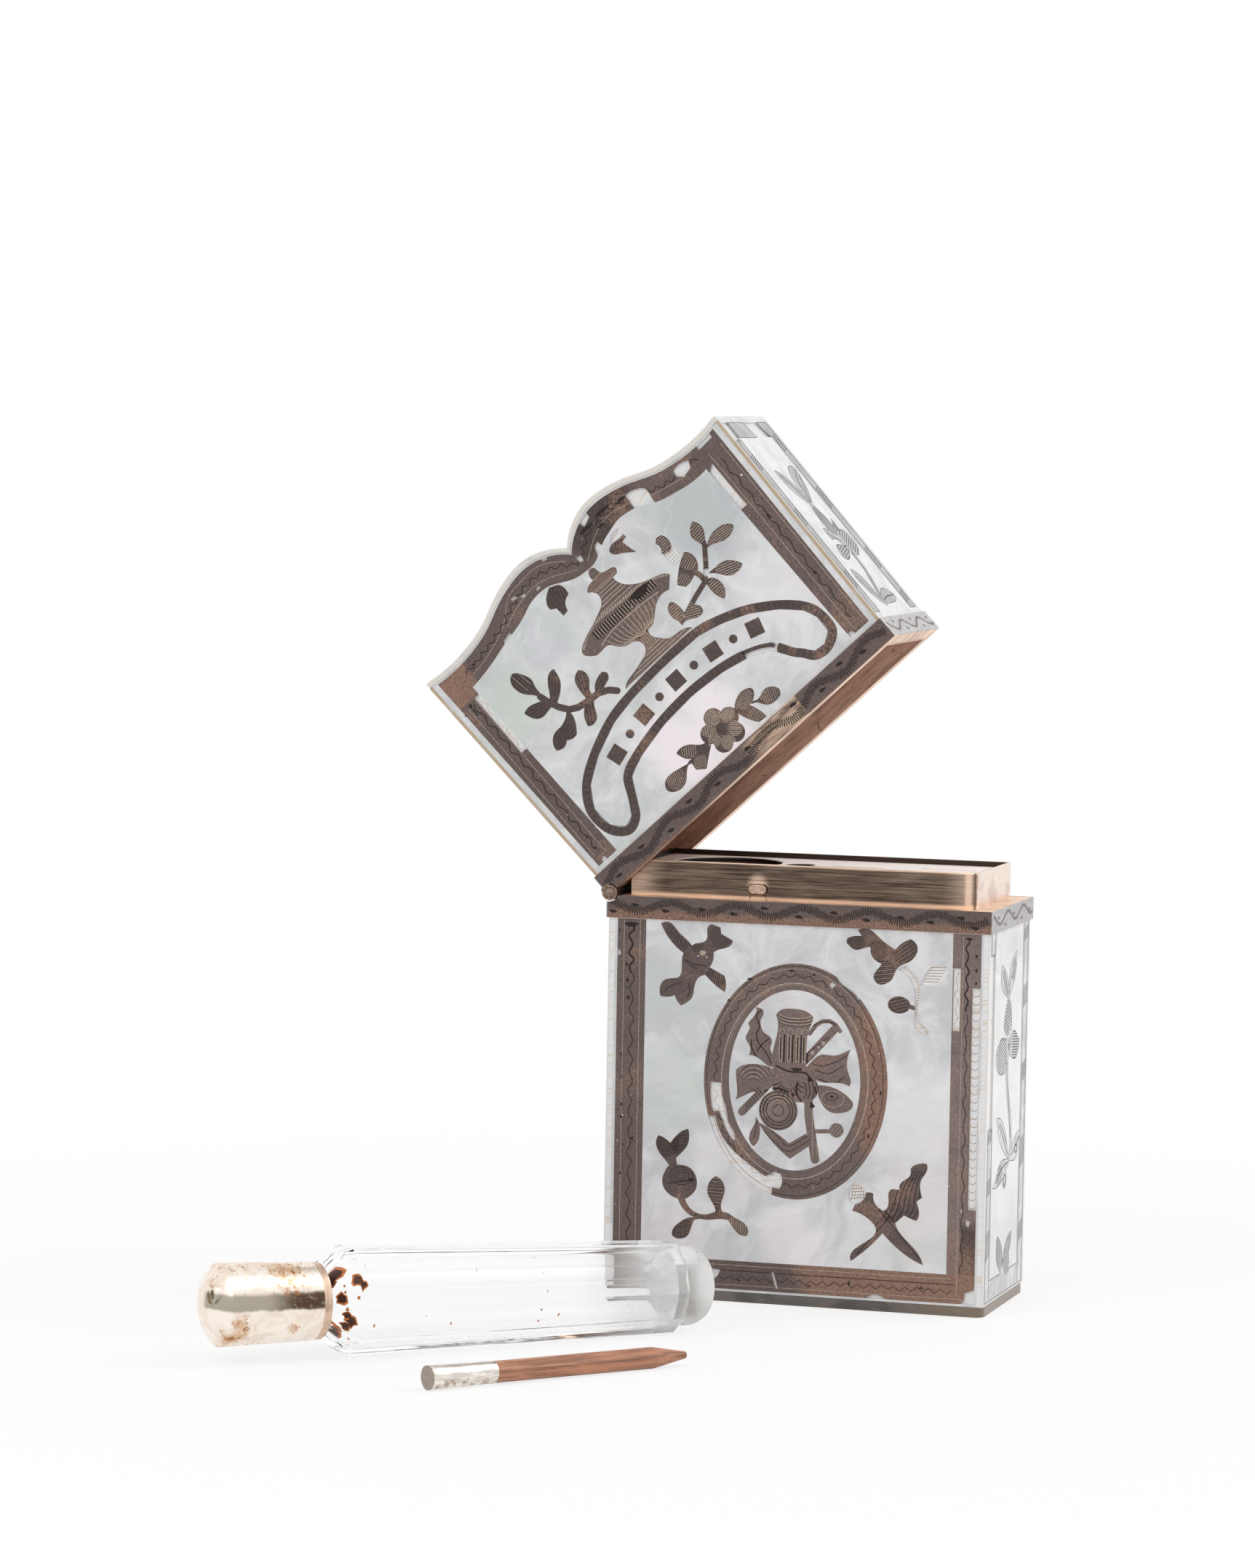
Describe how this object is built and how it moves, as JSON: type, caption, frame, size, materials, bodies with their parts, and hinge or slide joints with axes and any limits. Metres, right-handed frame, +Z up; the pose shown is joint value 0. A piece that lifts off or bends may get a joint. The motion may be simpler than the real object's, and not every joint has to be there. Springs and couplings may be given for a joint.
{
  "type": "vanity case",
  "caption": "Slim upright vanity case with a side-hinged scalloped lid, inlaid pearl faces, a fitted plate, and a scent bottle and stick lying beside it.",
  "frame": {"origin": "centre of the case's base, on the surface it stands on", "axes": "+Z up, front of the case facing -Y, hinge along Y on the -X side"},
  "size_m": [0.0807, 0.0962, 0.1115],
  "materials": {
    "pearl": "polished",
    "silver_inlay": "tarnished",
    "case_wood": "plain",
    "gilt_rim": "engraved, worn",
    "gilt_lining": "brushed",
    "horn_base": "polished",
    "clear_glass": "cut",
    "gilt_cap": "polished, spotted",
    "stick_wood": "whittled",
    "ferrule_silver": "satin"
  },
  "bodies": {
    "case": {"base_plate": "horn_base", "body_carcass": "case_wood", "body_plaque_front": "pearl", "body_plaque_back": "pearl", "body_plaque_right": "pearl", "body_plaque_left": "pearl", "body_front_border": "silver_inlay", "body_front_medallion": "silver_inlay", "body_front_trophy": "silver_inlay", "body_front_sprays": "silver_inlay", "body_front_torch": "silver_inlay", "body_back_border": "silver_inlay", "body_back_medallion": "silver_inlay", "body_back_sprays": "silver_inlay", "body_right_inlay": "silver_inlay", "body_left_inlay": "silver_inlay", "body_band": "gilt_rim", "body_hinge_bar": "gilt_rim", "body_knuckles": "gilt_rim", "hinge_pin": "gilt_rim", "collar": "gilt_lining", "insert_block": "case_wood", "fitted_plate": "gilt_lining"},
    "lid": {"lid_band": "gilt_rim", "lid_hinge_bar": "gilt_rim", "lid_knuckles": "gilt_rim", "lid_lining": "gilt_lining", "lid_carcass": "case_wood", "lid_plaque_front": "pearl", "lid_plaque_back": "pearl", "lid_plaque_right": "pearl", "lid_plaque_left": "pearl", "lid_top_cover": "pearl", "lid_front_border": "silver_inlay", "lid_front_urn": "silver_inlay", "lid_front_sprigs": "silver_inlay", "lid_front_banner": "silver_inlay", "lid_front_motifs": "silver_inlay", "lid_front_spray": "silver_inlay", "lid_back_border": "silver_inlay", "lid_back_urn": "silver_inlay", "lid_back_sprigs": "silver_inlay", "lid_right_inlay": "silver_inlay", "lid_left_inlay": "silver_inlay"},
    "catch": {"catch": "gilt_lining"},
    "bottle": {"bottle_glass": "clear_glass", "bottle_neck_ring": "gilt_cap"},
    "cap": {"bottle_cap": "gilt_cap", "cap_boss": "gilt_cap", "bottle_stopper": "clear_glass"},
    "stick": {"stick_shaft": "stick_wood", "stick_ferrule": "ferrule_silver"}
  },
  "joints": [
    {"name": "lid_hinge", "type": "hinge", "parent": "case", "child": "lid", "pos_m": [-0.02464, 0, 0.05113], "axis": [0, -1, 0], "range_deg": [-42.86, 97]},
    {"name": "catch_press", "type": "slide", "parent": "case", "child": "catch", "axis": [0, 1, 0], "range_m": [0, 0.0003], "stiffness_N_per_m": 300},
    {"name": "bottle_lift", "type": "slide", "parent": "case", "child": "bottle", "axis": [0, 0, 1], "range_m": [0, 0.06]},
    {"name": "cap_pull", "type": "slide", "parent": "bottle", "child": "cap", "axis": [-0.7192, -0.6945, 0.0221], "range_m": [0, 0.014]},
    {"name": "stick_lift", "type": "slide", "parent": "case", "child": "stick", "axis": [0, 0, 1], "range_m": [0, 0.06]}
  ]
}
